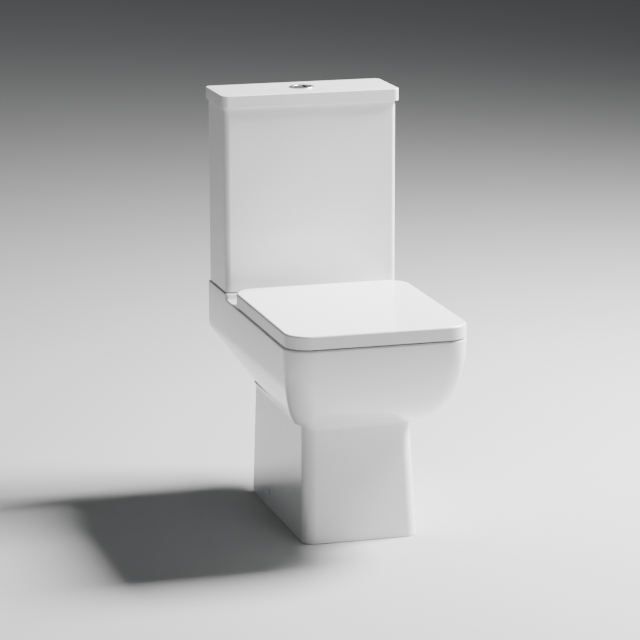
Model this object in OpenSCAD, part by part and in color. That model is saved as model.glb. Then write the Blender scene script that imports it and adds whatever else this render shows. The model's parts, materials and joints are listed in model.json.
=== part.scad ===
// Close coupled toilet: ceramic pan and cistern, seat and lid on hinges, dual flush and fill valves.
// X is to the right seen from the front, the front faces -Y, the floor is Z = 0.

/* [Overall] */
// Width of the cistern lid, the widest piece
overall_width = 360; // [330:1:432]
// Height from the floor to the top of the cistern lid
overall_height = 810; // [760:1:972]
// Distance from the wall to the front of the pan
projection = 612; // [590:1:735]

/* [Cistern] */
// Depth of the cistern lid from the wall
cistern_lid_depth = 144; // [136:1:172]
// Height of the cistern lid's edge
cistern_lid_height = 24; // [20:1:30]
// How far the lid stands out past the cistern at the sides and the front
lid_overhang = 6; // [3:1:8]
// Thickness of the cistern's walls
cistern_wall = 9; // [7:1:11]
// Thickness of the cistern's floor
cistern_floor = 12; // [10:1:15]
// Radius of the cistern's vertical corners
cistern_corner_r = 10; // [6:1:14]

/* [Pan] */
// Width of the pan at the rim
pan_width = 354; // [330:1:424]
// Height of the rim that the seat rests on
rim_height = 408; // [380:1:440]
// Height of the cistern's platform above the rim
platform_rise = 10; // [6:1:14]
// Thickness of the ceramic skin
pan_wall = 9; // [7:1:11]
// Thickness of the deck and the rim's top
deck_thickness = 14; // [11:1:17]
// Radius of the rim's corners
pan_corner_r = 48; // [38:1:58]
// Height at which the bowl curves into the foot
neck_height = 228; // [200:1:250]
// Height of the skirt's lower edge at the wall
skirt_back_height = 328; // [305:1:345]
// Width of the opening in the rim
opening_width = 244; // [210:1:262]
// Width of the rim in front of the opening
rim_front = 56; // [50:1:64]
// Height of the lip that hides the water channel
lip_height = 34; // [28:1:40]

/* [Foot] */
// Width of the foot at the floor
foot_width = 228; // [216:1:270]
// Distance of the foot's front behind the pan's front
foot_set_back = 126; // [110:1:150]
// Distance from the wall to the foot's back edges
foot_back = 100; // [86:1:116]
// Width of the foot at the neck
neck_width = 213; // [200:1:224]
// Distance of the neck's front behind the pan's front
neck_set_back = 152; // [140:1:172]
// Radius of the foot's vertical corners
foot_corner_r = 24; // [18:1:30]

/* [Outlet] */
// Outer diameter of the soil outlet
outlet_d = 102; // [95:1:110]
// Height of the outlet's centre above the floor
outlet_height = 190; // [180:1:196]
// Distance from the wall to the outlet's end
outlet_set_back = 60; // [45:1:70]

/* [Seat] */
// Width of the seat lid
seat_width = 351; // [330:1:420]
// Space between the cistern lid's front and the seat
seat_gap = 41; // [39:1:50]
// Height of the seat lid's edge
seat_lid_height = 26; // [24:1:31]
// Height of the rubber buffers under the seat
buffer_height = 3; // [2:0.5:4]
// Thickness of the seat lid's shell
lid_shell = 4; // [3:0.5:4.5]
// Thickness of the seat ring
ring_height = 18; // [15:1:19]
// Radius of the seat's corners
seat_corner_r = 45; // [36:1:54]
// Width of the seat ring's opening
seat_opening_width = 220; // [190:1:236]

/* [Hinges] */
// Distance between the two hinges
hinge_spacing = 155; // [130:1:170]
// Radius of the hinge pins
hinge_pin_r = 4; // [3.5:0.1:4.8]
// Height of the hinge line above the rim
hinge_rise = 16; // [15.5:0.1:17]
// Distance of the hinge line in front of the seat lid's back edge
hinge_inset = 9; // [8:0.1:9.5]
// Running clearance on the hinge pins
pin_clearance = 0.05; // [0.02:0.01:0.09]

/* [Flush button] */
// Diameter of the chrome bezel
bezel_d = 50; // [46:1:60]
// Diameter of the threaded barrel under the bezel
barrel_d = 40; // [37:0.5:42]
// Radius of the push rods
rod_r = 3; // [2.4:0.1:3.6]

/* [Valves] */
// Diameter of the flush valve's threaded tail
flush_tail_d = 60; // [54:1:64]
// Distance from the wall to the valves' centres
valve_set_back = 71; // [68:1:74]
// Height of the flush valve above the cistern's floor
flush_valve_height = 270; // [240:1:290]
// Distance of the fill valve from the cistern's centre
fill_valve_offset = 120; // [112:1:126]
// Diameter of the fill valve's half inch tail thread
fill_tail_d = 20.96; // [20:0.01:21.5]
// Height of the fill valve above the cistern's floor
fill_valve_height = 285; // [260:1:300]

/* [Fixings] */
// Distance between the two bolts that hold the cistern to the pan
coupling_spacing = 150; // [140:1:160]
// Radius of the coupling bolts
coupling_bolt_r = 4; // [3:0.1:4.8]
// Distance of the side screws in front of the wall
side_screw_back = 224; // [200:1:250]
// Height of the side screws above the floor
side_screw_height = 33; // [27:1:38]
// Distance between the holes for the cistern's wall screws
wall_hole_spacing = 240; // [200:1:260]
// Radius of the holes for the cistern's wall screws
wall_hole_r = 4.5; // [3.5:0.1:5.5]

/* [Hidden] */
$fn = 64;
eps = 0.01;
hull_fn = 32;
ceramic = [0.95, 0.95, 0.94];
plastic = [0.97, 0.97, 0.96];
valve_white = [0.90, 0.91, 0.92];
chrome = [0.80, 0.81, 0.83];
steel = [0.68, 0.70, 0.72];
brass = [0.80, 0.65, 0.35];
rubber = [0.16, 0.16, 0.17];

back_y = projection / 2;
back_corner_r = 6;

// Heights
platform_top = rim_height + platform_rise;
cistern_gap = 2;
cistern_base = platform_top + cistern_gap;
cistern_top = overall_height - cistern_lid_height;
floor_top = cistern_base + cistern_floor;
deck_under = rim_height - deck_thickness;

// Cistern
cistern_width = overall_width - 2 * lid_overhang;
cistern_depth = cistern_lid_depth - lid_overhang;
cistern_inner_r = 4;
lid_roof = 10;
lid_lip_drop = 10;
lid_lip_wall = 5;
lid_lip_gap = 2;
wall_hole_drop = 60;

// Pan
rim_back = cistern_lid_depth + 2;
opening_back = seat_back() + hinge_inset + 52;
opening_front = projection - rim_front;
opening_r = opening_width * 0.38;
channel_width = 16;
lip_wall = 7;
basin_back = opening_back - channel_width;
basin_front = opening_front + channel_width;
basin_width = opening_width + 2 * channel_width;
bowl_layers = 10;
// How far the bowl stands out over the foot at the neck
neck_ledge = 1;
bowl_base_width = neck_width + 2 * neck_ledge;
skirt_rise = skirt_back_height - neck_height;

// Trap: the path's joints, each as a distance from the wall and a height
trap_bore_r = outlet_d / 2 - pan_wall - 4;
trap_outer_r = trap_bore_r + pan_wall;
trap_swell = 0.6;
trap_floor = 60;
outlet_leg = trap_outer_r + 6;
collar_length = outlet_leg - 12;
outlet_joint = [outlet_set_back + outlet_leg, outlet_height];
crown_back = outlet_joint + [76, 32];
crown_front = crown_back + [62, -14];
trap_heel = [crown_front[0] + 24, trap_floor + trap_bore_r];
sump_r = trap_bore_r + 8;
sump_d = trap_heel[0] + trap_bore_r + sump_r + 4;
sump_z = trap_floor + sump_r;
sump_top = sump_z + 84;
basin_corner_r = 90;
basin_layers = 6;
basin_fullness = 0.72;

// Inlet socket and the duct from it to the rim's water channel
gasket_r = flush_tail_d / 2 + 15;
socket_r = gasket_r + 2;
socket_depth = 26;
socket_floor = platform_top - socket_depth;
inlet_r = flush_tail_d / 2 - 8;
duct_half = 29;
duct_top = socket_floor - pan_wall;
duct_floor = duct_top - 28;
tail_hole_r = 24;

// Seat
seat_top = rim_height + buffer_height + seat_lid_height;
seat_base = rim_height + buffer_height;
ring_top = seat_base + ring_height;
lid_under = seat_top - lid_shell;
lid_front = projection;
ring_inset = lid_shell + 3;
hinge_d = seat_back() + hinge_inset;
hinge_z = rim_height + hinge_rise;
knuckle_r = hinge_pin_r + 4;
post_length = 30;
post_neck = 11;
knuckle_length = 14;
knuckle_gap = 1.5;
pin_half = post_length / 2 + knuckle_gap + knuckle_length + 1;
ring_back = hinge_d + knuckle_r + 5;
seat_opening_back = ring_back + 46;
seat_opening_front = lid_front - 66;
seat_opening_r = seat_opening_width * 0.4;
buffer_x = (seat_opening_width + seat_width) / 4;
stud_r = 3.5;
stud_hole_r = 6;
stud_drop = 46;
hinge_foot_r = 17;
hinge_foot_height = buffer_height - 0.5;
hinge_reach = hinge_spacing / 2 + pin_half + 4;

// Button and rods
barrel_bore_r = barrel_d / 2 - 2;
button_r = barrel_bore_r - 0.4;
button_height = 10;
bezel_rise = 2;
barrel_length = 28;
button_d = valve_set_back;
button_top = overall_height + bezel_rise - 0.6;
button_base = button_top - button_height;
split_shift = 20;
split_gap = 0.5;
rod_offset = 10;
bezel_nut_r = barrel_d / 2 + 7;

// Valves
valve_y = at(valve_set_back);
flange_height = 6;
washer_height = 3;
flush_flange_r = flush_tail_d / 2 + 9;
flush_seat_z = floor_top + washer_height;
flush_tail_drop = 26;
flush_bore_r = flush_tail_d / 2 - 8;
cage_height = 34;
tower_r = 26;
tower_wall = 2.5;
cage_ring = 4;
tower_base = flush_seat_z + flange_height + cage_height + cage_ring;
tower_top = floor_top + flush_valve_height;
overflow_r = 13;
overflow_wall = 2;
overflow_top = tower_top - 44;
guide_z = overflow_top - 26;
overflow_clearance = 1;
seal_r = flush_bore_r + 5;
seal_height = 4;
head_height = 14;
rod_end = tower_top + head_height - 18;
rod_socket_r = rod_r + 0.6;
back_nut_height = 8;
fill_x = fill_valve_offset;
fill_tail_r = fill_tail_d / 2;
fill_tail_drop = 42;
fill_neck_r = fill_tail_r + 0.6;
fill_relief = 2;
fill_flange_r = fill_tail_r + 5;
fill_shank_r = 11;
fill_bore_r = 5;
fill_shank_top = floor_top + fill_valve_height - 40;
fill_head_r = 17;
float_r = 24;
float_height = 62;
float_bore_r = fill_shank_r + 1;
float_top = fill_shank_top - 22;
fill_nut_base = cistern_base - 9;
head_rise = 40;
ear_back = 26;
ear_half = 20;
spout_reach = float_r + 9;
spout_z = fill_shank_top + 10;
lever_pin_r = 1.5;
lever_half = 15;
lever_x = fill_x - ear_back + 4;
lever_z = fill_shank_top - 10;

// Fixings
fit = 0.1;
coupling_x = coupling_spacing / 2;
coupling_hole_r = coupling_bolt_r + 2;
coupling_head = floor_top + 5;
coupling_washer = 2;
coupling_drop = 34;
bracket_thickness = 4;
bracket_width = 34;
bracket_reach = 34;
bracket_height = 48;
bracket_hole_r = 3.5;
side_screw_r = 2.5;
side_hole_r = 4;
cap_r = 7;
bracket_x = foot_half(bracket_height) - pan_wall - 3;
bracket_hole_x = bracket_x - bracket_reach / 2 - 2;
screw_tip = bracket_x - bracket_thickness - 5;
screw_seat = foot_half(side_screw_height - cap_r);
screw_head = screw_seat + 1.5;
cap_out = screw_head + 2;
side_hole_in = bracket_x - 1;
side_hole_out = foot_width / 2 + 2;

// Y of a point that is a given distance in front of the wall
function at(d) = back_y - d;
// Distance from the wall to the seat lid's back edge
function seat_back() = cistern_lid_depth + seat_gap;
// Half the foot's width at a height
function foot_half(z) = foot_width / 2 - (foot_width - neck_width) / 2 * z / neck_height;
// A value between two others
function mix(low, high, part) = low + (high - low) * part;

// Rounded rectangle, centred in X, between two distances from the wall
module plan(width, back, front, r) {
    length = front - back;
    translate([0, at((back + front) / 2)]) {
        square([width - 2 * r, length], center = true);
        square([width, length - 2 * r], center = true);
        for (x = [-1, 1], y = [-1, 1])
            translate([x * (width / 2 - r), y * (length / 2 - r)]) circle(r);
    }
}

// Block with round vertical corners
module block(width, back, front, r, low, high) {
    translate([0, 0, low]) linear_extrude(high - low) plan(width, back, front, r);
}

// Four thin corner discs, one level of a hull
module level(front_width, back_width, back, front, front_r, back_r, z) {
    for (x = [-1, 1]) {
        translate([x * (front_width / 2 - front_r), at(front - front_r), z])
            cylinder(h = eps, r = front_r, $fn = hull_fn);
        translate([x * (back_width / 2 - back_r), at(back + back_r), z])
            cylinder(h = eps, r = back_r, $fn = hull_fn);
    }
}

// Upright cylinder at a place given by X and the distance from the wall
module rod_at(x, d, r, low, high) {
    translate([x, at(d), low]) cylinder(h = high - low, r = r);
}

// Upright tube
module tube_at(x, d, r, bore, low, high) {
    difference() {
        rod_at(x, d, r, low, high);
        rod_at(x, d, bore, low - 1, high + 1);
    }
}

// Cylinder along X
module bar(x_low, x_high, y, z, r) {
    translate([x_low, y, z]) rotate([0, 90, 0]) cylinder(h = x_high - x_low, r = r);
}

// Box between two corners, the second pair being distances from the wall
module brick(x_low, x_high, back, front, low, high) {
    translate([x_low, at(front), low]) cube([x_high - x_low, front - back, high - low]);
}

// Six-sided nut with a bore
module hex_nut(x, d, across, bore, low, high) {
    difference() {
        translate([x, at(d), low]) cylinder(h = high - low, r = across / sqrt(3), $fn = 6);
        rod_at(x, d, bore, low - 1, high + 1);
    }
}

// Wing nut: a round hub and two ears that rise towards their tips
module wing_nut(x, d, bore, hub_r, low, high) {
    ear = hub_r + 7;
    drop = 4;
    difference() {
        union() {
            rod_at(x, d, hub_r, low, high);
            for (side = [-1, 1])
                brick(x + min(0, side * ear), x + max(0, side * ear),
                    d - 1.5, d + 1.5, low - drop, high - drop);
        }
        rod_at(x, d, bore, low - drop - 1, high + 1);
    }
}

// ---- Pan ----

// The bowl, moved inwards by a wall: in front a quarter ellipse from the neck out to the rim,
// at the back a straight slope from the foot to the skirt's lower edge at the wall
module bowl_form(inward, low, high, open_back) {
    hull() for (i = [0 : bowl_layers]) {
        turn = 90 * i / bowl_layers;
        z = mix(low, high - eps, 1 - cos(turn));
        rise = min(1, (z - low) / skirt_rise);
        level(
            mix(bowl_base_width, pan_width, sin(turn)) - 2 * inward,
            mix(bowl_base_width, pan_width, rise) - 2 * inward,
            open_back ? -20 : (foot_back - neck_ledge) * (1 - rise),
            projection - (neck_set_back - neck_ledge) * (1 - sin(turn)) - inward,
            mix(foot_corner_r, pan_corner_r, sin(turn)) - inward,
            back_corner_r, z
        );
    }
}

// The foot: it narrows from the floor to the neck
module foot_form(inward, low, high, back) {
    low_width = foot_width - 2 * inward;
    high_width = neck_width - 2 * inward;
    hull() {
        level(low_width, low_width, back, projection - foot_set_back - inward,
            foot_corner_r - inward, back_corner_r, low);
        level(high_width, high_width, back, projection - neck_set_back - inward,
            foot_corner_r - inward, back_corner_r, high);
    }
}

// The basin inside the bowl, grown outwards by a wall: it widens from the sump to the rim
module basin_form(outward, high) {
    hull() for (i = [0 : basin_layers]) {
        part = i / basin_layers;
        swell = pow(part, basin_fullness);
        width = mix(2 * sump_r, basin_width, swell) + 2 * outward;
        corner = mix(sump_r, basin_corner_r, swell) + outward;
        level(
            width, width,
            mix(sump_d - sump_r, basin_back, part) - outward,
            mix(sump_d + sump_r, basin_front, part) + outward,
            corner, corner, mix(sump_top, high, part)
        );
    }
}

// The round sump under the basin
module sump_form(outward) {
    rod_at(0, sump_d, sump_r + outward, sump_z, sump_top + 4);
    translate([0, at(sump_d), sump_z]) sphere(sump_r + outward + trap_swell);
}

// A straight leg of the trap between two joints
module trap_leg(r, from, to) {
    step = [from[0] - to[0], to[1] - from[1]];
    translate([0, at(from[0]), from[1]]) rotate([atan2(step[1], step[0]) - 90, 0, 0])
        cylinder(h = norm(step), r = r);
}

// The trap's whole path, swollen a little at its joints
module trap_form(r, first, last) {
    joints = [trap_heel, crown_front, crown_back, outlet_joint];
    path = concat([[first, trap_heel[1]]], joints, [[last, outlet_height]]);
    for (i = [1 : len(path) - 1]) trap_leg(r, path[i - 1], path[i]);
    for (joint = joints) translate([0, at(joint[0]), joint[1]]) sphere(r + trap_swell);
}

// The block the downturned lip is cut from
module lip_form() {
    block(opening_width + 2 * lip_wall, opening_back - lip_wall, opening_front + lip_wall,
        opening_r + lip_wall, rim_height - lip_height, deck_under + 1);
}

// The basin's outside with its sump, and the socket and duct that bring the flush water to it
module basin_outside() {
    basin_form(pan_wall, deck_under - eps);
    sump_form(pan_wall);
    rod_at(0, valve_set_back, socket_r + pan_wall, duct_floor - pan_wall, deck_under);
    brick(-duct_half - pan_wall, duct_half + pan_wall, valve_set_back, basin_back,
        duct_floor - pan_wall, deck_under);
}

// The skirt, the foot, the deck with its platform and the lip round the opening
module pan() {
    color(ceramic) difference() {
        union() {
            difference() {
                union() {
                    bowl_form(0, neck_height, rim_height, false);
                    foot_form(0, 0, neck_height + neck_ledge, foot_back);
                    block(pan_width, 0, rim_back, back_corner_r, deck_under, platform_top);
                }
                bowl_form(pan_wall, neck_height + pan_wall, deck_under, true);
                foot_form(pan_wall, -1, neck_height + pan_wall + 1, foot_back - 40);
                basin_outside();
            }
            lip_form();
        }
        block(opening_width, opening_back, opening_front, opening_r,
            rim_height - lip_height - 1, rim_height + 1);
        rod_at(0, valve_set_back, socket_r, deck_under - 1, platform_top + 1);
        for (side = [-1, 1]) {
            rod_at(side * coupling_x, valve_set_back, coupling_hole_r, deck_under - 1,
                platform_top + 1);
            rod_at(side * hinge_spacing / 2, hinge_d, stud_hole_r, deck_under - 1,
                rim_height + 1);
            bar(min(side * side_hole_in, side * side_hole_out),
                max(side * side_hole_in, side * side_hole_out),
                at(side_screw_back), side_screw_height, side_hole_r);
        }
        // The supply passes up through the skirt's underside and the deck
        rod_at(fill_x, valve_set_back, tail_hole_r, neck_height, platform_top + 1);
    }
}

module pan_basin() {
    color(ceramic) difference() {
        basin_outside();
        basin_form(0, deck_under + 1);
        sump_form(0);
        trap_form(trap_bore_r, sump_d, outlet_set_back - 1);
        rod_at(0, valve_set_back, socket_r, socket_floor, deck_under + 1);
        rod_at(0, valve_set_back, inlet_r, duct_floor + 1, socket_floor + 1);
        brick(-duct_half, duct_half, valve_set_back - inlet_r, basin_back + 12,
            duct_floor, duct_top);
        lip_form();
    }
}

// The trap, from the sump over its crown to the outlet's collar
module pan_trap() {
    color(ceramic) difference() {
        union() {
            trap_form(trap_outer_r, sump_d, outlet_set_back + 1);
            trap_leg(outlet_d / 2, [outlet_set_back + collar_length, outlet_height],
                [outlet_set_back, outlet_height]);
        }
        trap_form(trap_bore_r, sump_d, outlet_set_back - 1);
        basin_outside();
    }
}

module floor_brackets() {
    color(steel) for (side = [-1, 1]) difference() {
        union() {
            brick(min(side * bracket_x, side * (bracket_x - bracket_reach)),
                max(side * bracket_x, side * (bracket_x - bracket_reach)),
                side_screw_back - bracket_width / 2, side_screw_back + bracket_width / 2,
                0, bracket_thickness);
            brick(min(side * bracket_x, side * (bracket_x - bracket_thickness)),
                max(side * bracket_x, side * (bracket_x - bracket_thickness)),
                side_screw_back - bracket_width / 2, side_screw_back + bracket_width / 2,
                0, bracket_height);
        }
        rod_at(side * bracket_hole_x, side_screw_back, bracket_hole_r, -1,
            bracket_thickness + 1);
        bar(min(side * (bracket_x - bracket_thickness - 1), side * (bracket_x + 1)),
            max(side * (bracket_x - bracket_thickness - 1), side * (bracket_x + 1)),
            at(side_screw_back), side_screw_height, side_screw_r + fit);
    }
}

// A screw from the foot's side into the bracket, with its head against the foot
module side_screws() {
    color(steel) for (side = [-1, 1]) {
        bar(min(side * screw_tip, side * screw_seat), max(side * screw_tip, side * screw_seat),
            at(side_screw_back), side_screw_height, side_screw_r);
        bar(min(side * screw_seat, side * screw_head), max(side * screw_seat, side * screw_head),
            at(side_screw_back), side_screw_height, side_hole_r + 1);
    }
}

// A domed cap over each screw's head
module side_screw_caps() {
    color(plastic) for (side = [-1, 1]) difference() {
        bar(min(side * screw_seat, side * cap_out), max(side * screw_seat, side * cap_out),
            at(side_screw_back), side_screw_height, cap_r);
        bar(min(side * (screw_seat - 1), side * screw_head),
            max(side * (screw_seat - 1), side * screw_head),
            at(side_screw_back), side_screw_height, side_hole_r + 1.2);
    }
}

// ---- Cistern ----

module cistern() {
    color(ceramic) difference() {
        block(cistern_width, 0, cistern_depth, cistern_corner_r, cistern_base, cistern_top);
        block(cistern_width - 2 * cistern_wall, cistern_wall, cistern_depth - cistern_wall,
            cistern_inner_r, floor_top, cistern_top + 1);
        rod_at(0, valve_set_back, flush_tail_d / 2 + 2, cistern_base - 1, floor_top + 1);
        rod_at(fill_x, valve_set_back, fill_tail_r + 2, cistern_base - 1, floor_top + 1);
        for (side = [-1, 1]) {
            rod_at(side * coupling_x, valve_set_back, coupling_hole_r, cistern_base - 1,
                floor_top + 1);
            translate([side * wall_hole_spacing / 2, back_y + 1, cistern_top - wall_hole_drop])
                rotate([90, 0, 0]) cylinder(h = cistern_wall + 2, r = wall_hole_r);
        }
    }
}

module coupling_bolts() {
    color(brass) for (side = [-1, 1]) {
        rod_at(side * coupling_x, valve_set_back, coupling_bolt_r, deck_under - coupling_drop,
            coupling_head);
        rod_at(side * coupling_x, valve_set_back, coupling_bolt_r + 6, coupling_head,
            coupling_head + 4);
    }
}

module coupling_rubber_washers() {
    color(rubber) for (side = [-1, 1])
        tube_at(side * coupling_x, valve_set_back, coupling_bolt_r + 8,
            coupling_bolt_r + fit, floor_top, coupling_head);
}

module coupling_steel_washers() {
    color(steel) for (side = [-1, 1])
        tube_at(side * coupling_x, valve_set_back, coupling_bolt_r + 7,
            coupling_bolt_r + fit, deck_under - coupling_washer, deck_under);
}

module coupling_wing_nuts() {
    color(brass) for (side = [-1, 1])
        wing_nut(side * coupling_x, valve_set_back, coupling_bolt_r + fit, coupling_bolt_r + 4,
            deck_under - coupling_washer - 9, deck_under - coupling_washer);
}

module cistern_gasket() {
    color(rubber) tube_at(0, valve_set_back, gasket_r, flush_tail_d / 2 + 0.5, socket_floor,
        cistern_base - back_nut_height);
}

// ---- Flush valve ----

module flush_valve_base() {
    cage_top = flush_seat_z + flange_height + cage_height;
    color(valve_white) {
        difference() {
            union() {
                rod_at(0, valve_set_back, flush_tail_d / 2, cistern_base - flush_tail_drop,
                    flush_seat_z + 1);
                rod_at(0, valve_set_back, flush_flange_r, flush_seat_z,
                    flush_seat_z + flange_height);
            }
            rod_at(0, valve_set_back, flush_bore_r, cistern_base - flush_tail_drop - 1,
                flush_seat_z + flange_height + 1);
        }
        tube_at(0, valve_set_back, flush_flange_r, tower_r - tower_wall, cage_top,
            cage_top + cage_ring);
        for (turn = [45 : 90 : 315])
            translate([0, valve_y, 0]) rotate([0, 0, turn])
                translate([flush_flange_r - 6, -3, flush_seat_z + flange_height])
                    cube([5, 6, cage_height]);
    }
}

module flush_valve_washer() {
    color(rubber) tube_at(0, valve_set_back, flush_flange_r, flush_tail_d / 2 + fit,
        floor_top, flush_seat_z);
}

module flush_valve_back_nut() {
    color(valve_white) tube_at(0, valve_set_back, flush_tail_d / 2 + 8,
        flush_tail_d / 2 + fit, cistern_base - back_nut_height, cistern_base);
}

// The tower, with a plate inside that guides the overflow tube
module flush_valve_tower() {
    color(valve_white) {
        tube_at(0, valve_set_back, tower_r, tower_r - tower_wall, tower_base, tower_top);
        tube_at(0, valve_set_back, tower_r - tower_wall, overflow_r + overflow_clearance,
            guide_z, guide_z + 4);
    }
}

module flush_valve_head() {
    color(valve_white) difference() {
        union() {
            rod_at(0, valve_set_back, tower_r + 4, tower_top, tower_top + head_height);
            rod_at(0, valve_set_back, tower_r - tower_wall - fit, tower_top - 6, tower_top + 1);
        }
        for (side = [-1, 1])
            rod_at(side * rod_offset, valve_set_back, rod_socket_r, tower_top - 7,
                tower_top + head_height + 1);
    }
}

module flush_valve_overflow() {
    color("LightSteelBlue") tube_at(0, valve_set_back, overflow_r, overflow_r - overflow_wall,
        flush_seat_z + flange_height + seal_height, overflow_top);
}

module flush_valve_seal() {
    color(rubber) tube_at(0, valve_set_back, seal_r, overflow_r - overflow_wall,
        flush_seat_z + flange_height, flush_seat_z + flange_height + seal_height);
}

// ---- Fill valve ----

module fill_valve_body() {
    flange_z = floor_top + washer_height;
    color(valve_white) difference() {
        union() {
            rod_at(fill_x, valve_set_back, fill_tail_r, cistern_base - fill_tail_drop,
                fill_nut_base - fill_relief);
            rod_at(fill_x, valve_set_back, fill_tail_r - 1, fill_nut_base - fill_relief,
                flange_z);
            rod_at(fill_x, valve_set_back, fill_neck_r, fill_nut_base, flange_z);
            rod_at(fill_x, valve_set_back, fill_flange_r, flange_z, flange_z + 5);
            rod_at(fill_x, valve_set_back, fill_shank_r, flange_z + 5, fill_shank_top);
        }
        rod_at(fill_x, valve_set_back, fill_bore_r, cistern_base - fill_tail_drop - 1,
            fill_shank_top + 1);
    }
}

module fill_valve_washer() {
    color(rubber) tube_at(fill_x, valve_set_back, fill_flange_r, fill_neck_r + fit,
        floor_top, floor_top + washer_height);
}

module fill_valve_back_nut() {
    color(valve_white) hex_nut(fill_x, valve_set_back, 2 * fill_flange_r + 4,
        fill_neck_r + fit, fill_nut_base, cistern_base);
}

// The valve's head: a plate with two ears for the lever, a round housing and a spout
module fill_valve_head() {
    color(plastic) {
        difference() {
            union() {
                brick(fill_x - ear_back, fill_x + fill_head_r, valve_set_back - ear_half,
                    valve_set_back + ear_half, fill_shank_top, fill_shank_top + 5);
                rod_at(fill_x, valve_set_back, fill_head_r, fill_shank_top,
                    fill_shank_top + head_rise);
                brick(fill_x - 6, fill_x + 6, valve_set_back, valve_set_back + spout_reach + 6,
                    spout_z, spout_z + 12);
                for (side = [-1, 1])
                    brick(fill_x - ear_back, fill_x - ear_back + 8,
                        valve_set_back + side * (ear_half - 2) - 2,
                        valve_set_back + side * (ear_half - 2) + 2,
                        lever_z - 5, fill_shank_top + 1);
            }
            translate([lever_x, valve_y + ear_half + 1, lever_z]) rotate([90, 0, 0])
                cylinder(h = 2 * ear_half + 2, r = lever_pin_r);
        }
    }
}

module fill_valve_outlet_tube() {
    color(plastic) tube_at(fill_x, valve_set_back + spout_reach, 5, 3.5, floor_top + 50,
        spout_z);
}

// The lever: a forked plate around the shank, with a bore for its pin
module fill_valve_lever() {
    color("Gainsboro") difference() {
        union() {
            brick(lever_x, fill_x + float_r + 4, valve_set_back - lever_half,
                valve_set_back + lever_half, lever_z - 1.5, lever_z + 1.5);
            translate([lever_x, valve_y + lever_half, lever_z]) rotate([90, 0, 0])
                cylinder(h = 2 * lever_half, r = lever_pin_r + 2);
        }
        brick(fill_x - fill_shank_r - 2.5, fill_x + fill_shank_r + 2.5,
            valve_set_back - fill_shank_r - 1, valve_set_back + fill_shank_r + 1,
            lever_z - 2, lever_z + 2);
        translate([lever_x, valve_y + lever_half + 1, lever_z]) rotate([90, 0, 0])
            cylinder(h = 2 * lever_half + 2, r = lever_pin_r + pin_clearance);
    }
}

module fill_valve_lever_pin() {
    color(steel) translate([lever_x, valve_y + ear_half, lever_z]) rotate([90, 0, 0])
        cylinder(h = 2 * ear_half, r = lever_pin_r);
}

// The float: an upturned cup that slides on the shank, with a stud under the lever
module fill_valve_float() {
    color("Gainsboro") difference() {
        union() {
            rod_at(fill_x, valve_set_back, float_r, float_top - float_height, float_top);
            rod_at(fill_x + float_r - 4, valve_set_back, 2.5, float_top - 1, lever_z - 1.8);
        }
        difference() {
            rod_at(fill_x, valve_set_back, float_r - 2, float_top - float_height - 1,
                float_top - 2);
            rod_at(fill_x, valve_set_back, float_bore_r + 2, float_top - float_height - 2,
                float_top);
        }
        rod_at(fill_x, valve_set_back, float_bore_r, float_top - float_height - 1,
            float_top + 1);
    }
}

// ---- Cistern lid and flush button ----

// The lid: a hollow slab, a lip that drops inside the cistern and a hole for the button
module cistern_lid() {
    inner_width = cistern_width - 2 * cistern_wall - 2 * lid_lip_gap;
    inner_back = cistern_wall + lid_lip_gap;
    inner_front = cistern_depth - cistern_wall - lid_lip_gap;
    color(ceramic) difference() {
        union() {
            block(overall_width, 0, cistern_lid_depth, cistern_corner_r + 2, cistern_top,
                overall_height);
            block(inner_width, inner_back, inner_front, cistern_inner_r,
                cistern_top - lid_lip_drop, cistern_top + 1);
        }
        block(inner_width - 2 * lid_lip_wall, inner_back + lid_lip_wall,
            inner_front - lid_lip_wall, cistern_inner_r, cistern_top - lid_lip_drop - 1,
            overall_height - lid_roof);
        rod_at(0, button_d, barrel_d / 2 + 1, cistern_top, overall_height + 1);
    }
}

// The chrome bezel, on a threaded barrel that goes down through the lid
module button_bezel() {
    color(chrome) difference() {
        union() {
            rod_at(0, button_d, bezel_d / 2, overall_height, overall_height + bezel_rise);
            rod_at(0, button_d, barrel_d / 2, overall_height - barrel_length,
                overall_height + 1);
        }
        rod_at(0, button_d, barrel_bore_r, overall_height - barrel_length - 1,
            overall_height + bezel_rise + 1);
    }
}

module button_lock_nut() {
    roof_under = overall_height - lid_roof;
    color(valve_white) tube_at(0, button_d, bezel_nut_r, barrel_d / 2 + fit, roof_under - 8,
        roof_under);
}

module full_flush_button() {
    color(chrome) difference() {
        rod_at(0, button_d, button_r, button_base, button_top);
        rod_at(split_shift, button_d, button_r + split_gap, button_base - 1, button_top + 1);
    }
}

module half_flush_button() {
    color(chrome) intersection() {
        rod_at(0, button_d, button_r, button_base, button_top);
        rod_at(split_shift, button_d, button_r, button_base, button_top);
    }
}

module full_flush_rod() {
    color(valve_white) rod_at(-rod_offset, button_d, rod_r, rod_end, button_base);
}

module half_flush_rod() {
    color(valve_white) rod_at(rod_offset, button_d, rod_r, rod_end, button_base);
}

// ---- Hinges ----

// Each hinge post: a round foot on the rim, a slim neck and a barrel that holds the pin
module hinge_posts() {
    color(chrome) for (side = [-1, 1]) {
        x = side * hinge_spacing / 2;
        difference() {
            union() {
                rod_at(x, hinge_d, hinge_foot_r, rim_height, rim_height + hinge_foot_height);
                brick(x - post_length / 2, x + post_length / 2, hinge_d - post_neck / 2,
                    hinge_d + post_neck / 2, rim_height + 1, hinge_z);
                bar(x - post_length / 2, x + post_length / 2, at(hinge_d), hinge_z, knuckle_r);
            }
            bar(x - post_length, x + post_length, at(hinge_d), hinge_z, hinge_pin_r);
        }
    }
}

module hinge_pins() {
    color(steel) for (side = [-1, 1])
        bar(side * hinge_spacing / 2 - pin_half, side * hinge_spacing / 2 + pin_half,
            at(hinge_d), hinge_z, hinge_pin_r);
}

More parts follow.
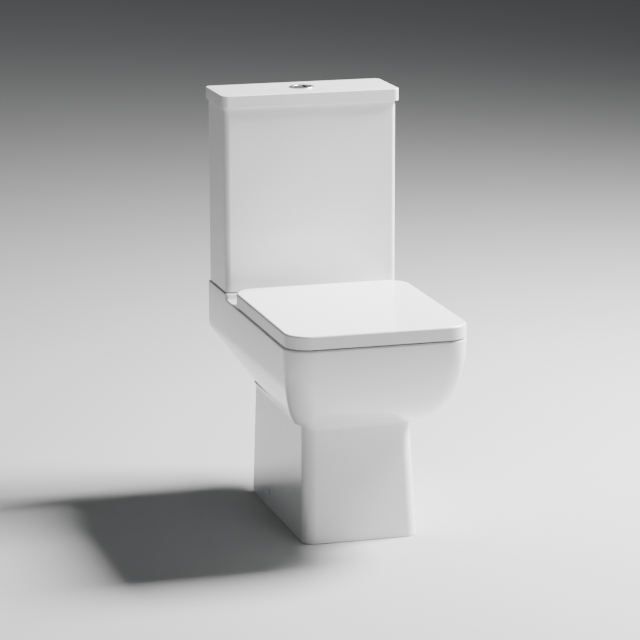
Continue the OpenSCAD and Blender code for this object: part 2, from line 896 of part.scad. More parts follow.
module hinge_studs() {
    color(steel) for (side = [-1, 1])
        rod_at(side * hinge_spacing / 2, hinge_d, stud_r, rim_height - stud_drop, rim_height);
}

// A rubber washer under the deck, with a collar that centres the stud in its hole
module hinge_rubber_washers() {
    color(rubber) for (side = [-1, 1]) {
        x = side * hinge_spacing / 2;
        tube_at(x, hinge_d, stud_hole_r + 4, stud_r + fit, deck_under - 4, deck_under);
        tube_at(x, hinge_d, stud_hole_r - fit, stud_r + fit, deck_under - 1, deck_under + 8);
    }
}

module hinge_wing_nuts() {
    color(plastic) for (side = [-1, 1])
        wing_nut(side * hinge_spacing / 2, hinge_d, stud_r + fit, stud_r + 4.5,
            deck_under - 14, deck_under - 4);
}

// ---- Seat ----

// Two knuckles on the hinge line, outboard of the posts where away is 1 and inboard where -1
module knuckles(away, low, high, reach) {
    for (side = [-1, 1]) {
        near = side * (hinge_spacing / 2 + away * (post_length / 2 + knuckle_gap));
        far = near + side * away * knuckle_length;
        bar(min(near, far), max(near, far), at(hinge_d), hinge_z, knuckle_r);
        brick(min(near, far), max(near, far), hinge_d, hinge_d + reach, low, high);
    }
}

module pin_bores() {
    for (side = [-1, 1])
        bar(side * hinge_spacing / 2 - pin_half - 20, side * hinge_spacing / 2 + pin_half + 20,
            at(hinge_d), hinge_z, hinge_pin_r + pin_clearance);
}

module seat_ring() {
    ring_width = seat_width - 2 * ring_inset;
    color(plastic) difference() {
        union() {
            block(ring_width, ring_back, lid_front - ring_inset, seat_corner_r - ring_inset,
                seat_base, ring_top);
            knuckles(-1, hinge_z - knuckle_r + 1, ring_top, ring_back - hinge_d + 2);
        }
        block(seat_opening_width, seat_opening_back, seat_opening_front,
            seat_opening_r, seat_base - 1, ring_top + 1);
        pin_bores();
    }
}

module seat_buffers() {
    color(rubber) for (side = [-1, 1], d = [seat_opening_back + 10, seat_opening_front - 30])
        brick(side * buffer_x - 5, side * buffer_x + 5, d - 16, d + 16, rim_height, seat_base);
}

// The lid: a shell over the ring, open at the back between its corners
module seat_lid() {
    color(plastic) difference() {
        union() {
            difference() {
                block(seat_width, seat_back(), lid_front, seat_corner_r, seat_base, seat_top);
                block(seat_width - 2 * lid_shell, seat_back() + lid_shell,
                    lid_front - lid_shell, seat_corner_r - lid_shell, seat_base - 1, lid_under);
                brick(-hinge_reach, hinge_reach, seat_back() - 1, seat_back() + lid_shell + 1,
                    seat_base - 1, lid_under);
                brick(-seat_width, seat_width, seat_back() - 1, hinge_d - 2, seat_base - 1,
                    seat_base + 1);
            }
            knuckles(1, hinge_z, lid_under + 1, knuckle_r);
        }
        pin_bores();
    }
}

module lid_buffers() {
    color(rubber) for (side = [-1, 1], d = [seat_opening_back + 10, seat_opening_front - 30])
        brick(side * buffer_x - 5, side * buffer_x + 5, d - 8, d + 8, ring_top, lid_under);
}

pan();
pan_basin();
pan_trap();
floor_brackets();
side_screws();
side_screw_caps();
cistern();
coupling_bolts();
coupling_rubber_washers();
coupling_steel_washers();
coupling_wing_nuts();
cistern_gasket();
flush_valve_base();
flush_valve_washer();
flush_valve_back_nut();
flush_valve_tower();
flush_valve_head();
flush_valve_overflow();
flush_valve_seal();
fill_valve_body();
fill_valve_washer();
fill_valve_back_nut();
fill_valve_head();
fill_valve_outlet_tube();
fill_valve_lever();
fill_valve_lever_pin();
fill_valve_float();
cistern_lid();
button_bezel();
button_lock_nut();
full_flush_button();
full_flush_rod();
half_flush_button();
half_flush_rod();
hinge_posts();
hinge_pins();
hinge_studs();
hinge_rubber_washers();
hinge_wing_nuts();
seat_ring();
seat_buffers();
seat_lid();
lid_buffers();
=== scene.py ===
import json
import math

import bmesh
import bpy
from mathutils import Matrix, Vector
from mathutils.geometry import interpolate_bezier

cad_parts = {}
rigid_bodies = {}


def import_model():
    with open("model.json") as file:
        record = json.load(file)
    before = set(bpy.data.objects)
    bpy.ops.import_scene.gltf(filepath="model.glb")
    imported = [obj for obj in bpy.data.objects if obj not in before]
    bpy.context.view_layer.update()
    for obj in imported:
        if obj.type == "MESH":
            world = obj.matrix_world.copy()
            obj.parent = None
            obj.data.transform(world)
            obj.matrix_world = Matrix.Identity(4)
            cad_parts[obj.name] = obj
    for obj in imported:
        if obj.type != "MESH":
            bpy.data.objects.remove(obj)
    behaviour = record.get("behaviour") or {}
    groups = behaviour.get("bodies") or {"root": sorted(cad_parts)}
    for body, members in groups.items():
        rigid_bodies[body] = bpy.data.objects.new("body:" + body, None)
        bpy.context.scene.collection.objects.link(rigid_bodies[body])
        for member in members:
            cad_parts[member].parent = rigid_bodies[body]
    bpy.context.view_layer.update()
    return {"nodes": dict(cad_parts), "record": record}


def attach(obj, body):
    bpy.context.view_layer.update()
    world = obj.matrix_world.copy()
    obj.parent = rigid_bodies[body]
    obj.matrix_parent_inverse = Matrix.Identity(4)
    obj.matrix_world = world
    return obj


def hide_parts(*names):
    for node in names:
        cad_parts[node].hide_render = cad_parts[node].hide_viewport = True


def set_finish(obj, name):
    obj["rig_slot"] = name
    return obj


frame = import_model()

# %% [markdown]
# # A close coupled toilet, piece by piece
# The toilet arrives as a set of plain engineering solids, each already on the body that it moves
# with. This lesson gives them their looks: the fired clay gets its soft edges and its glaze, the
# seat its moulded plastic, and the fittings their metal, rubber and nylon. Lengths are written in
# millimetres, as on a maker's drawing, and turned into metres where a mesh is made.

MM = 0.001
WALL_Y = 306

# %% [markdown]
# ## Outlines and lofts
# Sanitaryware is cast in plaster moulds, and its sections are rounded rectangles that change size
# on the way up. A loft makes just that: an outline at each height, bridged to the next one. Each
# outline starts as a circle of points, because Blender makes a circle with its edges in one
# step, and its points are then moved on to the rounded rectangle.

# %% One outline
CORNER_POINTS = 16


def outline(width, back, front, front_r, back_r, z, back_width=None):
    """A rounded rectangle between two distances from the wall, at one height"""
    back_width = width if back_width is None else back_width
    corners = [
        (width / 2 - front_r, WALL_Y - front + front_r, front_r, -90),
        (back_width / 2 - back_r, WALL_Y - back - back_r, back_r, 0),
        (back_r - back_width / 2, WALL_Y - back - back_r, back_r, 90),
        (front_r - width / 2, WALL_Y - front + front_r, front_r, 180),
    ]
    points = []
    for x, y, r, start in corners:
        for i in range(CORNER_POINTS):
            turn = math.radians(start + 90 * i / (CORNER_POINTS - 1))
            points.append(Vector((x + r * math.cos(turn), y + r * math.sin(turn), z)))
    return points


def grown(width, back, front, r, z, out=0):
    """The same outline, moved outwards by a distance"""
    return outline(width + 2 * out, back - out, front + out, r + out, r + out, z)


print("an outline has", len(outline(100, 0, 100, 10, 10, 0)), "points")

# %% Outlines bridged into a closed skin


def loft(outlines):
    """A closed mesh through a row of outlines, with both ends capped"""
    bm = bmesh.new()
    rings = []
    last = len(outlines) - 1
    for i, points in enumerate(outlines):
        made = bmesh.ops.create_circle(
            bm, cap_ends=i in (0, last), cap_tris=False, segments=len(points), radius=MM
        )["verts"]
        for vert, point in zip(made, points):
            vert.co = point * MM
        rings.append(list({edge for vert in made for edge in vert.link_edges}))
    for low, high in zip(rings, rings[1:]):
        bmesh.ops.bridge_loops(bm, edges=low + high)
    bmesh.ops.recalc_face_normals(bm, faces=bm.faces)
    return bm


def solid(name, bm):
    """The mesh as an object in the scene"""
    mesh = bpy.data.meshes.new(name)
    bm.to_mesh(mesh)
    bm.free()
    obj = bpy.data.objects.new(name, mesh)
    bpy.context.scene.collection.objects.link(obj)
    return obj


def joined(obj, tool, operation):
    """Adds the tool's shape to the piece, or cuts it out, and throws the tool away"""
    step = obj.modifiers.new("join", "BOOLEAN")
    step.operation = operation
    step.solver = "EXACT"
    step.object = tool
    shaped = obj.evaluated_get(bpy.context.evaluated_depsgraph_get())
    mesh = bpy.data.meshes.new_from_object(shaped)
    obj.modifiers.clear()
    obj.data = mesh
    bpy.data.objects.remove(tool)
    return obj


def cut(obj, bm):
    return joined(obj, solid("cutter", bm), "DIFFERENCE")


def add(obj, bm):
    return joined(obj, solid("addition", bm), "UNION")


def drum(x, d, r, low, high, lean="Z"):
    """An upright cylinder at a distance from the wall, or a lying one along X or Y"""
    bm = bmesh.new()
    turned = {"Z": Matrix(), "X": Matrix.Rotation(math.pi / 2, 4, "Y"),
              "Y": Matrix.Rotation(math.pi / 2, 4, "X")}[lean]
    middle = (low + high) / 2
    centre = {"Z": (x, WALL_Y - d, middle), "X": (middle, WALL_Y - d, x),
              "Y": (x, WALL_Y - middle, d)}[lean]
    bmesh.ops.create_cone(
        bm, cap_ends=True, segments=48, radius1=r * MM, radius2=r * MM,
        depth=(high - low) * MM,
        matrix=Matrix.Translation(Vector(centre) * MM) @ turned,
    )
    return bm


# %% [markdown]
# ## The finish of an edge
# Nothing on a real toilet has a knife edge: glaze pulls back from corners and moulded plastic
# leaves its tool with a small radius. Flat faces have to stay flat to the eye all the same, so
# each piece is smooth shaded, its true corners are marked sharp, and weighted normals keep the
# broad faces calm next to their narrow bevels.

# %% Shading that keeps flats flat
SHARP = math.radians(38)


def shaded(obj):
    bm = bmesh.new()
    bm.from_mesh(obj.data)
    for face in bm.faces:
        face.smooth = True
    for edge in bm.edges:
        edge.smooth = edge.calc_face_angle(0) < SHARP
    bm.to_mesh(obj.data)
    bm.free()
    calm = obj.modifiers.new("calm flats", "WEIGHTED_NORMAL")
    calm.keep_sharp = True
    return obj


# %% The pan's sizes
FOOT_WIDTH, FOOT_BACK, FOOT_FRONT = 228, 100, 486
NECK_Z, NECK_WIDTH, NECK_FRONT = 228, 213, 460
PAN_WIDTH, PAN_FRONT, RIM_Z = 354, 612, 408
NECK_LEDGE = 1
SKIRT_RISE = 100
WALL = 9
COVE_LOW, COVE_OUT = 215, 6
BACK_R, FOOT_R, PAN_R = 6, 24, 48


def mix(low, high, part):
    return low + (high - low) * part


def bowl_outline(turn, inward=0, low=NECK_Z, high=RIM_Z, back=None):
    """The bowl at one point of the quarter ellipse that takes it from the neck to the rim"""
    swing, z = math.sin(turn), mix(low, high, 1 - math.cos(turn))
    rise = min(1, (z - low) / SKIRT_RISE)
    base = NECK_WIDTH + 2 * NECK_LEDGE
    return outline(
        mix(base, PAN_WIDTH, swing) - 2 * inward,
        (FOOT_BACK - NECK_LEDGE) * (1 - rise) if back is None else back,
        mix(NECK_FRONT + NECK_LEDGE, PAN_FRONT, swing) - inward,
        mix(FOOT_R, PAN_R, swing) - inward, BACK_R, z,
        back_width=mix(base, PAN_WIDTH, rise) - 2 * inward,
    )


def foot_outline(z, out=0, back=FOOT_BACK):
    part = z / NECK_Z
    return outline(
        mix(FOOT_WIDTH, NECK_WIDTH, part) + 2 * out, back,
        mix(FOOT_FRONT, NECK_FRONT, part) + out, FOOT_R + out, BACK_R, z,
    )


print("the bowl's widest outline is", PAN_WIDTH, "wide, its narrowest",
      NECK_WIDTH + 2 * NECK_LEDGE)

# %% [markdown]
# ## The pan's skin
# On the real pan the foot narrows to a neck, turns out through a small hollow called a cove, and
# the bowl swells above it in a quarter of an ellipse. One loft can run from the floor to the rim,
# and each curve then only needs outlines close enough together: three for the straight foot, a
# handful for the cove, twenty odd for the bowl, and four for the soft edge of the rim.

# %% The outer skin
RIM_SOFT = 3.5
FIRST_TURN, BOWL_STEPS = 0.085, 26
quarter = [math.radians(90 * i / 5) for i in range(6)]

skin = [foot_outline(0, -1.5), foot_outline(0.5, -0.6), foot_outline(1.6)]
skin += [foot_outline(z) for z in (70, 140, COVE_LOW)]
for turn in quarter[1:5]:
    rise = (NECK_Z - COVE_LOW) * math.sin(turn)
    skin.append(foot_outline(COVE_LOW + rise, COVE_OUT * (1 - math.cos(turn))))
edge_turn = math.acos(1 - RIM_SOFT / (RIM_Z - NECK_Z))
top_turn = math.pi / 2 - RIM_SOFT / (RIM_Z - NECK_Z)
skin += [
    bowl_outline(mix(FIRST_TURN, top_turn, i / BOWL_STEPS))
    for i in range(BOWL_STEPS + 1)
]
for turn in quarter[1:]:
    inset = RIM_SOFT * (1 - math.cos(turn))
    z = RIM_Z - RIM_SOFT + RIM_SOFT * math.sin(turn)
    skin.append(outline(
        PAN_WIDTH - 2 * inset, inset, PAN_FRONT - inset, PAN_R - inset, BACK_R - inset, z
    ))
pan = solid("pan_ceramic", loft(skin))
print("the skin runs through", len(skin), "outlines")

# %% [markdown]
# ## The platform behind the rim
# The cistern stands on a low platform at the back of the pan. It is part of the same casting, so
# its sides run flush into the pan's and only its top edge is soft.

# %% The platform
PLATFORM_FRONT, PLATFORM_TOP, PLATFORM_SOFT = 146, 418, 2.5
PLATFORM_SUNK, PLATFORM_INSET = 396, 0.1
platform = (PAN_WIDTH - 2 * PLATFORM_INSET, PLATFORM_INSET, PLATFORM_FRONT, BACK_R)
sides = [grown(*platform, z) for z in (PLATFORM_SUNK, PLATFORM_TOP - PLATFORM_SOFT)]
for turn in quarter[1:]:
    sides.append(grown(
        *platform,
        PLATFORM_TOP - PLATFORM_SOFT * (1 - math.sin(turn)),
        PLATFORM_SOFT * (math.cos(turn) - 1),
    ))
add(pan, loft(sides))
print("the platform's top is at", PLATFORM_TOP)

# %% [markdown]
# ## The hollow inside
# A pan is not a lump: it is a wall about nine millimetres thick, open at the floor and at the
# back, where the pipes go. A second loft, a wall's thickness smaller and drawn out through the
# back, is cut out of the first.

# %% The hollow of the bowl and of the foot
DECK_UNDER, OPEN_BACK = 394, -20
hollow = [
    bowl_outline(mix(0, math.pi / 2, i / 14), WALL, NECK_Z + WALL, DECK_UNDER, OPEN_BACK)
    for i in range(15)
]
cut(pan, loft(hollow))
cut(pan, loft([foot_outline(z, -WALL, FOOT_BACK - 40) for z in (-1, NECK_Z + WALL + 1)]))
print("walls are", WALL, "thick")

# %% [markdown]
# ## The basin and the trap
# Inside the skirt hangs the basin. It narrows to a round sump, and from there the trap climbs
# over a crown, which holds the water back, and falls to the outlet. The outside is added first
# and the inside cut after it, with the same two helpers and a wall's difference in size.

# %% The basin's outlines
BASIN_WIDTH, BASIN_BACK, BASIN_FRONT, BASIN_R = 276, 230, 572, 90
SUMP_D, SUMP_R, SUMP_TOP, SUMP_Z = 363, 46, 190, 98


def basin(outward, high):
    rings = []
    for i in range(6):
        turn = math.radians(-80 + 80 * i / 5)
        r = (SUMP_R + outward) * math.cos(turn)
        z = SUMP_Z + (SUMP_R + outward) * math.sin(turn)
        rings.append(outline(2 * r, SUMP_D - r, SUMP_D + r, r, r, z))
    for i in range(19):
        part = (i / 18) ** 1.25
        swell = part ** 0.72
        rings.append(outline(
            mix(2 * SUMP_R, BASIN_WIDTH, swell) + 2 * outward,
            mix(SUMP_D - SUMP_R, BASIN_BACK, part) - outward,
            mix(SUMP_D + SUMP_R, BASIN_FRONT, part) + outward,
            mix(SUMP_R, BASIN_R, swell) + outward, mix(SUMP_R, BASIN_R, swell) + outward,
            mix(SUMP_TOP, high, part),
        ))
    return rings


# %% The trap's path, with its bends rounded
OUTLET_Z = 190
TRAP = [(SUMP_D, SUMP_Z), (275, SUMP_Z), (251, 208), (189, 222), (113, OUTLET_Z), (61, OUTLET_Z)]
TRAP_BORE = 38
ROUND, REACH = 0.6, 0.49
COLLAR_R, COLLAR_BACK, COLLAR_FRONT = 51, 60, 101


def bend_points(corner, before, after, reach):
    near = corner + (before - corner).normalized() * reach
    far = corner + (after - corner).normalized() * reach
    return interpolate_bezier(
        near, near.lerp(corner, ROUND), far.lerp(corner, ROUND), far, 9
    )


def trap(r, last):
    """A tube along the trap's path: each outline is a circle across it"""
    corners = [Vector((0, WALL_Y - d, z)) for d, z in TRAP[:-1]]
    corners.append(Vector((0, WALL_Y - last, TRAP[-1][1])))
    path = [corners[0]]
    for before, corner, after in zip(corners, corners[1:], corners[2:]):
        reach = min((before - corner).length, (after - corner).length) * REACH
        path += bend_points(corner, before, after, reach)
    path.append(corners[-1])
    rings = []
    for i, point in enumerate(path):
        ahead = path[min(i + 1, len(path) - 1)] - path[max(i - 1, 0)]
        across = Vector((1, 0, 0))
        up = across.cross(ahead.normalized())
        rings.append([
            point + r * (across * math.cos(a) + up * math.sin(a))
            for a in [2 * math.pi * k / 40 for k in range(40)]
        ])
    return loft(rings)


add(pan, loft(basin(WALL, DECK_UNDER + 1)))
add(pan, trap(TRAP_BORE + WALL, COLLAR_BACK + 2))
add(pan, drum(0, OUTLET_Z, COLLAR_R, COLLAR_BACK, COLLAR_FRONT, "Y"))
print("the trap's bore is", 2 * TRAP_BORE, "across")

# %% The flush water's way in
VALVES_D, SOCKET_R, FLUSH_R = 71, 47, 22
DUCT_WIDTH, DUCT_FRONT, DUCT_CORNER, DUCT_LOW = 76, 240, 8, 346
add(pan, drum(0, VALVES_D, SOCKET_R + WALL, DUCT_LOW, DECK_UNDER + 1))
add(pan, loft([
    grown(DUCT_WIDTH, VALVES_D, DUCT_FRONT, DUCT_CORNER, z) for z in (DUCT_LOW, DECK_UNDER + 1)
]))
cut(pan, loft(basin(0, DECK_UNDER)))
print("the flush duct is", DUCT_WIDTH, "wide outside")

# %% [markdown]
# ## The rim's opening
# A lip hangs inside the opening and hides the channel that spreads the flush water. It is cast as
# a collar, and the opening is then cut through it with a tool that flares at both ends, so that
# the edges which a hand meets come out rounded.

# %% The lip and the opening
OPENING = (244, 246, 556, 92.7)
LIP_LOW, LIP_WALL, LIP_SOFT, EDGE_SOFT = 374, 7, 3, 4
add(pan, loft([grown(*OPENING, z, LIP_WALL) for z in (LIP_LOW, DECK_UNDER + 2)]))
flare = [grown(*OPENING, LIP_LOW - 1, LIP_SOFT + 0.5), grown(*OPENING, LIP_LOW, LIP_SOFT)]
for turn in quarter[2:5]:
    low = LIP_SOFT * math.sin(turn)
    flare.append(grown(*OPENING, LIP_LOW + low, LIP_SOFT - low))
for turn in reversed(quarter):
    low = RIM_Z - EDGE_SOFT + EDGE_SOFT * math.cos(turn)
    flare.append(grown(*OPENING, low, EDGE_SOFT * (1 - math.sin(turn))))
flare.append(grown(*OPENING, RIM_Z + 1, EDGE_SOFT + 0.5))
cut(pan, loft(flare))
print("the opening is", OPENING[0], "wide")

# %% The bores through the deck and the foot's sides
COUPLING_X, HINGE_X, HINGE_D, STUD_HOLE_R = 75, 77.5, 194, 6
SIDE_D, SIDE_Z, SIDE_HOLE_R, SIDE_IN, SIDE_OUT = 224, 33, 4, 98, 118
INLET_X, INLET_HOLE_R = 120, 24
above = PLATFORM_TOP + 1
cut(pan, drum(0, VALVES_D, SOCKET_R, DECK_UNDER - 2, above))
cut(pan, drum(0, VALVES_D, FLUSH_R, DUCT_LOW + 10, DECK_UNDER - 1))
cut(pan, trap(TRAP_BORE, COLLAR_BACK - 1))
for side in (-1, 1):
    cut(pan, drum(side * COUPLING_X, VALVES_D, STUD_HOLE_R, DECK_UNDER - 1, above))
    cut(pan, drum(side * HINGE_X, HINGE_D, STUD_HOLE_R, DECK_UNDER - 1, RIM_Z + 1))
    low, high = sorted((side * SIDE_IN, side * SIDE_OUT))
    cut(pan, drum(SIDE_Z, SIDE_D, SIDE_HOLE_R, low, high, "X"))
# The supply comes up through the skirt's underside and the deck
cut(pan, drum(INLET_X, VALVES_D, INLET_HOLE_R, NECK_Z, above))
shaded(pan)
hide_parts("pan", "pan_basin", "pan_trap")
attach(pan, "toilet")
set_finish(pan, "ceramic")
print("the pan has", len(pan.data.polygons), "faces")

# %% [markdown]
# ## Softening the moulded and machined pieces
# The other pieces already have their exact shape, but their edges are knife sharp. A copy of each
# mesh is merged, its flat faces are joined, and its true edges are bevelled: first the few broad
# ones that light catches, such as the rim of a lid, then all the rest by a hair.

# %% Bevelled copies of the plain solids
def true_edges(bm, wanted=lambda a, b: True):
    return [
        edge for edge in bm.edges
        if edge.calc_face_angle(0) > math.radians(30)
        and wanted(*[vert.co / MM for vert in edge.verts])
    ]


def bevelled(bm, edges, soft, segments):
    bmesh.ops.bevel(
        bm, geom=edges, affect="EDGES", offset=soft * MM, offset_type="OFFSET",
        segments=segments, profile=0.5, material=-1, clamp_overlap=True,
    )


def softened(node, body, slot, soft, broad=None):
    """A copy of a plain solid with bevelled edges; broad is (test, size) for its main edges"""
    bm = bmesh.new()
    bm.from_mesh(frame["nodes"][node].data)
    bmesh.ops.remove_doubles(bm, verts=bm.verts, dist=0.005 * MM)
    bmesh.ops.dissolve_limit(
        bm, angle_limit=math.radians(0.4), verts=bm.verts, edges=bm.edges
    )
    if broad:
        bevelled(bm, true_edges(bm, broad[0]), broad[1], 5)
    if soft:
        bevelled(bm, true_edges(bm), soft, 2)
    piece = shaded(solid(node + "_finished", bm))
    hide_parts(node)
    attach(piece, body)
    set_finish(piece, slot)
    return piece


def at_height(z, slack=0.3):
    """Picks edges that lie level at one height"""
    return lambda a, b: abs(a.z - z) < slack and abs(b.z - z) < slack


# %% The cistern, its lid and the seat
LID_TOP, LID_UNDER = 810, 786
SEAT_TOP, SEAT_BASE, RING_TOP = 437, 411, 429

softened("cistern", "toilet", "ceramic", 1.2, (at_height(420), 3))
softened("cistern_lid", "cistern_cover", "ceramic", 1, (at_height(LID_TOP), 3))
softened("seat_lid", "lid", "seat_plastic", 0.8, (at_height(SEAT_TOP), 4.5))
softened("seat_ring", "seat", "seat_plastic", 0.7, (at_height(RING_TOP), 3.5))
print("broad edges done")

# %% The flush button, the hinges and the fixings
BEZEL_TOP, BUTTON_TOP = 812, 811.4
softened("button_bezel", "cistern_cover", "chrome", 0.3, (at_height(BEZEL_TOP), 1.1))
for node in ("full_flush", "half_flush"):
    softened(node + "_button", node, "chrome", 0.2, (at_height(BUTTON_TOP), 0.9))
softened("hinge_posts", "toilet", "chrome", 0.6)
softened("side_screw_caps", "toilet", "seat_plastic", 0.7)
softened("floor_brackets", "toilet", "steel", 0.5)
softened("coupling_wing_nuts", "toilet", "brass", 0.5)
softened("hinge_wing_nuts", "toilet", "valve_plastic", 0.5)
softened("button_lock_nut", "cistern_cover", "valve_plastic", 0.6)
print("button, hinges and fixings softened")

# %% [markdown]
# ## The valves inside the cistern
# Lifting the cistern lid shows the flush valve's tower and the fill valve with its float. They are
# injection moulded, with edges rounded by about half a millimetre.

# %% Valve pieces
for node, body, slot in (
    ("flush_valve_base", "toilet", "valve_plastic"),
    ("flush_valve_back_nut", "toilet", "valve_plastic"),
    ("flush_valve_tower", "toilet", "valve_plastic"),
    ("flush_valve_head", "toilet", "valve_plastic"),
    ("flush_valve_overflow", "flush_lift", "valve_grey"),
    ("fill_valve_body", "toilet", "valve_plastic"),
    ("fill_valve_back_nut", "toilet", "valve_plastic"),
    ("fill_valve_head", "toilet", "valve_grey"),
    ("fill_valve_outlet_tube", "toilet", "valve_grey"),
    ("fill_valve_lever", "float_arm", "valve_grey"),
    ("fill_valve_float", "float", "valve_grey"),
):
    softened(node, body, slot, 0.5)
print("valve pieces softened")

# %% [markdown]
# ## A small language for finishes
# A finish is a recipe on nodes. Two small classes keep the recipes readable: one wraps a socket,
# so that sums and products of patterns can be written as plain arithmetic, and the other makes
# any node from its type, its settings and its inputs.

# %% Sockets with arithmetic, and a finish that makes nodes
class Pattern:
    """One output of a node, which can be added to, multiplied and compared"""

    def __init__(self, finish, socket):
        self.finish, self.socket = finish, socket

    def maths(self, operation, first, second):
        made = self.finish.node(
            "ShaderNodeMath", {"operation": operation}, {0: first, 1: second}
        )
        return Pattern(self.finish, made.outputs[0])

    def __add__(self, other):
        return self.maths("ADD", self, other)

    def __sub__(self, other):
        return self.maths("SUBTRACT", self, other)

    def __rsub__(self, other):
        return self.maths("SUBTRACT", other, self)

    def __mul__(self, other):
        return self.maths("MULTIPLY", self, other)

    def __lt__(self, other):
        return self.maths("LESS_THAN", self, other)

    def sine(self):
        return self.maths("SINE", self, 0)

    __radd__, __rmul__ = __add__, __mul__


class Finish:
    """A material's nodes, on the coordinates of the piece itself"""

    def __init__(self, name, fixed):
        self.material = bpy.data.materials.new(name)
        self.material.use_nodes = True
        self.tree = self.material.node_tree
        self.shader = self.tree.nodes["Principled BSDF"]
        for label, value in fixed.items():
            self.shader.inputs[label].default_value = value
        place = self.node("ShaderNodeTexCoord", {}, {})
        self.place = Pattern(self, place.outputs["Object"])
        parts = self.node("ShaderNodeSeparateXYZ", {}, {0: self.place})
        self.z = Pattern(self, parts.outputs[2])

    def node(self, kind, settings, inputs):
        made = self.tree.nodes.new(kind)
        for label, value in settings.items():
            setattr(made, label, value)
        for label, value in inputs.items():
            if isinstance(value, Pattern):
                self.tree.links.new(value.socket, made.inputs[label])
            else:
                made.inputs[label].default_value = value
        return made

    def stretched(self, x, y, z):
        made = self.node(
            "ShaderNodeMapping", {"vector_type": "POINT"},
            {"Vector": self.place, "Scale": (x, y, z)},
        )
        return Pattern(self, made.outputs[0])

    def clouds(self, per_metre, detail=3, place=None):
        """Soft noise from 0 to 1, with so many features to the metre"""
        made = self.node(
            "ShaderNodeTexNoise", {"noise_dimensions": "3D"},
            {"Vector": place or self.place, "Scale": per_metre, "Detail": detail},
        )
        return Pattern(self, made.outputs["Fac"])

    def specks(self, per_metre, size):
        """1 inside small round specks and 0 elsewhere"""
        made = self.node(
            "ShaderNodeTexVoronoi", {"feature": "F1"},
            {"Vector": self.place, "Scale": per_metre},
        )
        return Pattern(self, made.outputs["Distance"]) < size

    def colour(self, first, second, share):
        made = self.node(
            "ShaderNodeMix", {"data_type": "RGBA", "blend_type": "MIX"},
            {0: share, 6: (*first, 1), 7: (*second, 1)},
        )
        return Pattern(self, made.outputs[2])

    def recolour(self, under, second, share):
        made = self.node(
            "ShaderNodeMix", {"data_type": "RGBA", "blend_type": "MIX"},
            {0: share, 6: under, 7: (*second, 1)},
        )
        return Pattern(self, made.outputs[2])

    def relief(self, height, depth_mm):
        made = self.node(
            "ShaderNodeBump", {}, {"Height": height, "Distance": depth_mm * MM, "Strength": 1}
        )
        self.feed("Normal", Pattern(self, made.outputs[0]))

    def feed(self, label, pattern):
        self.tree.links.new(pattern.socket, self.shader.inputs[label])


finishes = {}

# %% [markdown]
# ## Glaze
# Vitreous china is white clay under a clear glassy glaze. The glaze is never quite even: its tone
# drifts over a hand's width, it has a faint orange peel, and the rim that stands on the kiln
# shelf is left bare. A coat layer gives the hard gloss over the softer white below.

# %% The glazed ceramic
glaze = Finish("glazed_ceramic", {"Coat Weight": 0.6, "Coat Roughness": 0.07, "IOR": 1.52})
drift = glaze.clouds(5)
bare = glaze.z < 0.9 * MM
white = glaze.colour((0.90, 0.90, 0.89), (0.85, 0.852, 0.85), drift)
white = glaze.recolour(white, (0.72, 0.70, 0.66), glaze.specks(140, 0.035) * 0.35)
glaze.feed("Base Color", glaze.recolour(white, (0.66, 0.60, 0.52), bare))
glaze.feed("Roughness", 0.16 + 0.08 * glaze.clouds(38) + 0.5 * bare)
glaze.relief(glaze.clouds(16, 1) * 1.6 + glaze.clouds(170, 2) * 0.12, 0.5)
finishes["ceramic"] = glaze

# %% [markdown]
# ## Seat plastic
# Seats are pressed from a hard thermoset. It is a touch warmer and a touch less glassy than the
# glaze, and a fine grain from the polished steel mould breaks its highlights.

# %% The seat's gloss plastic
seat_gloss = Finish("seat_thermoset", {"Coat Weight": 0.25, "Coat Roughness": 0.12})
seat_gloss.feed("Base Color", seat_gloss.colour(
    (0.90, 0.90, 0.888), (0.865, 0.865, 0.855), seat_gloss.clouds(9)
))
seat_gloss.feed("Roughness", 0.2 + 0.07 * seat_gloss.clouds(60))
seat_gloss.relief(seat_gloss.clouds(11, 1) * 1.2 + seat_gloss.clouds(900, 2) * 0.05, 0.4)
finishes["seat_plastic"] = seat_gloss

# %% [markdown]
# ## Metals
# Chrome is nearly a mirror, dulled a little where fingers touch it. Pressed steel keeps the long
# scratches of its brushing, so its noise is stretched along one direction. Brass tarnishes in
# patches.

# %% Chrome, steel and brass
chrome = Finish("polished_chrome", {"Metallic": 1})
touched = chrome.clouds(70)
chrome.feed("Base Color", chrome.colour((0.84, 0.85, 0.87), (0.74, 0.75, 0.77), touched))
chrome.feed("Roughness", 0.2 + 0.12 * touched + 0.05 * chrome.clouds(1500))
chrome.relief(chrome.clouds(120, 1), 0.03)
finishes["chrome"] = chrome

steel = Finish("brushed_steel", {"Metallic": 1})
scratches = steel.clouds(90, 4, steel.stretched(0.4, 12, 12))
steel.feed("Base Color", steel.colour((0.68, 0.69, 0.71), (0.50, 0.51, 0.53), scratches))
steel.feed("Roughness", 0.25 + 0.25 * scratches)
steel.relief(scratches, 0.06)
finishes["steel"] = steel

brass = Finish("aged_brass", {"Metallic": 1})
tarnish = brass.clouds(110, 5)
brass.feed("Base Color", brass.colour((0.83, 0.65, 0.33), (0.46, 0.33, 0.17), tarnish))
brass.feed("Roughness", 0.22 + 0.3 * tarnish)
brass.relief(tarnish + 0.5 * (brass.z * (2 * math.pi / (1.25 * MM))).sine(), 0.08)
finishes["brass"] = brass

# %% [markdown]
# ## Rubber and valve plastics
# Rubber is dark and dull with a grey bloom. The valves are moulded from nylon and acetal, which
# stay matt, with a fine spark eroded grain.

# %% Rubber and the two valve plastics
rubber = Finish("black_rubber", {"Specular IOR Level": 0.35})
bloom = rubber.clouds(85, 4)
rubber.feed("Base Color", rubber.colour((0.022, 0.022, 0.024), (0.075, 0.075, 0.08), bloom))
rubber.feed("Roughness", 0.58 + 0.22 * bloom)
rubber.relief(rubber.clouds(1400, 2), 0.05)
finishes["rubber"] = rubber


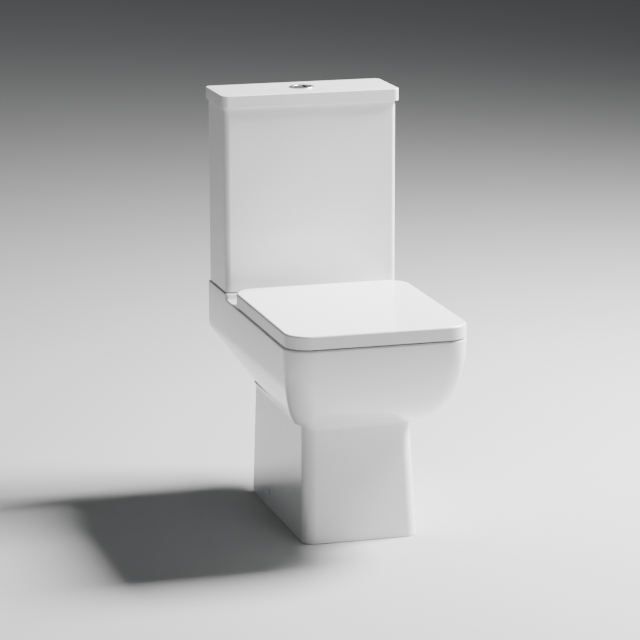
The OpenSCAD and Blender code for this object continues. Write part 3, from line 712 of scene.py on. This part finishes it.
def moulded(name, light, dark, roughness):
    plastic = Finish(name, {"IOR": 1.48})
    flow = plastic.clouds(24, 4, plastic.stretched(1, 1, 0.35))
    plastic.feed("Base Color", plastic.colour(light, dark, flow))
    plastic.feed("Roughness", roughness + 0.12 * plastic.clouds(260))
    plastic.relief(plastic.clouds(1600, 2) + 0.6 * flow, 0.05)
    return plastic


finishes["valve_plastic"] = moulded("white_nylon", (0.84, 0.85, 0.86), (0.76, 0.77, 0.78), 0.38)
finishes["valve_grey"] = moulded("grey_acetal", (0.50, 0.55, 0.61), (0.42, 0.47, 0.53), 0.4)
print(len(finishes), "finishes")

# %% Each piece takes the finish of its slot
slots = {part["node"]: part["material_slot"] for part in frame["record"]["subparts"]}
for node, obj in frame["nodes"].items():
    obj.data.materials.clear()
    obj.data.materials.append(finishes[slots[node]].material)
for obj in bpy.context.scene.objects:
    if "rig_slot" in obj:
        obj.data.materials.clear()
        obj.data.materials.append(finishes[obj["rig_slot"]].material)

# %% [markdown]
# ## The studio
# A grey floor, one strong soft light high on the right, a weak one in front and a faint even glow
# from all round show white china best: each form gets a bright side and a shadow to the left.

# %% Floor
bm = bmesh.new()
bmesh.ops.create_grid(bm, x_segments=1, y_segments=1, size=14)
floor = solid("studio_floor", bm)
ground = Finish("studio_paper", {})
ground.feed("Base Color", ground.colour((0.46, 0.46, 0.46), (0.44, 0.44, 0.445), ground.clouds(3)))
ground.feed("Roughness", 0.55 + 0.1 * ground.clouds(40))
floor.data.materials.append(ground.material)
print("the floor is", round(floor.dimensions.x), "metres wide")

# %% Lights
world = bpy.data.worlds.new("studio_glow")
world.use_nodes = True
world.node_tree.nodes["Background"].inputs["Color"].default_value = (0.95, 0.97, 1, 1)
world.node_tree.nodes["Background"].inputs["Strength"].default_value = 0.12
bpy.context.scene.world = world


def soft_light(name, place, aim, size, power):
    lamp = bpy.data.lights.new(name, "AREA")
    lamp.shape, lamp.size, lamp.energy = "SQUARE", size, power
    obj = bpy.data.objects.new(name, lamp)
    obj.location = place
    obj.rotation_euler = (Vector(aim) - Vector(place)).to_track_quat("-Z", "Y").to_euler()
    bpy.context.scene.collection.objects.link(obj)


soft_light("key", (1.9, 0.2, 2.5), (0, 0, 0.4), 1.0, 620)
soft_light("fill", (1.2, -3.4, 1.6), (0, 0, 0.3), 1.6, 14)
print(len(bpy.data.lights), "lights")

# %% [markdown]
# ## The camera
# A long lens from five and a half metres away, a little above the cistern and a little to the
# left, keeps the uprights nearly parallel.

# %% Camera
YAW, PITCH, ROLL = (math.radians(angle) for angle in (15.963, 13.039, -0.132))
ahead = Vector((
    math.sin(YAW) * math.cos(PITCH), math.cos(YAW) * math.cos(PITCH), -math.sin(PITCH)
))
lens = bpy.data.cameras.new("camera")
lens.sensor_width, lens.lens, lens.clip_end = 36, 169.9, 60
camera = bpy.data.objects.new("camera", lens)
camera.location = Vector((-1590.2, -5450.5, 1705.9)) * MM
turned = ahead.to_track_quat("-Z", "Y").to_matrix() @ Matrix.Rotation(ROLL, 3, "Z")
camera.rotation_euler = turned.to_euler()
bpy.context.scene.collection.objects.link(camera)
bpy.context.scene.camera = camera
print("the lens is", round(lens.lens), "mm long")
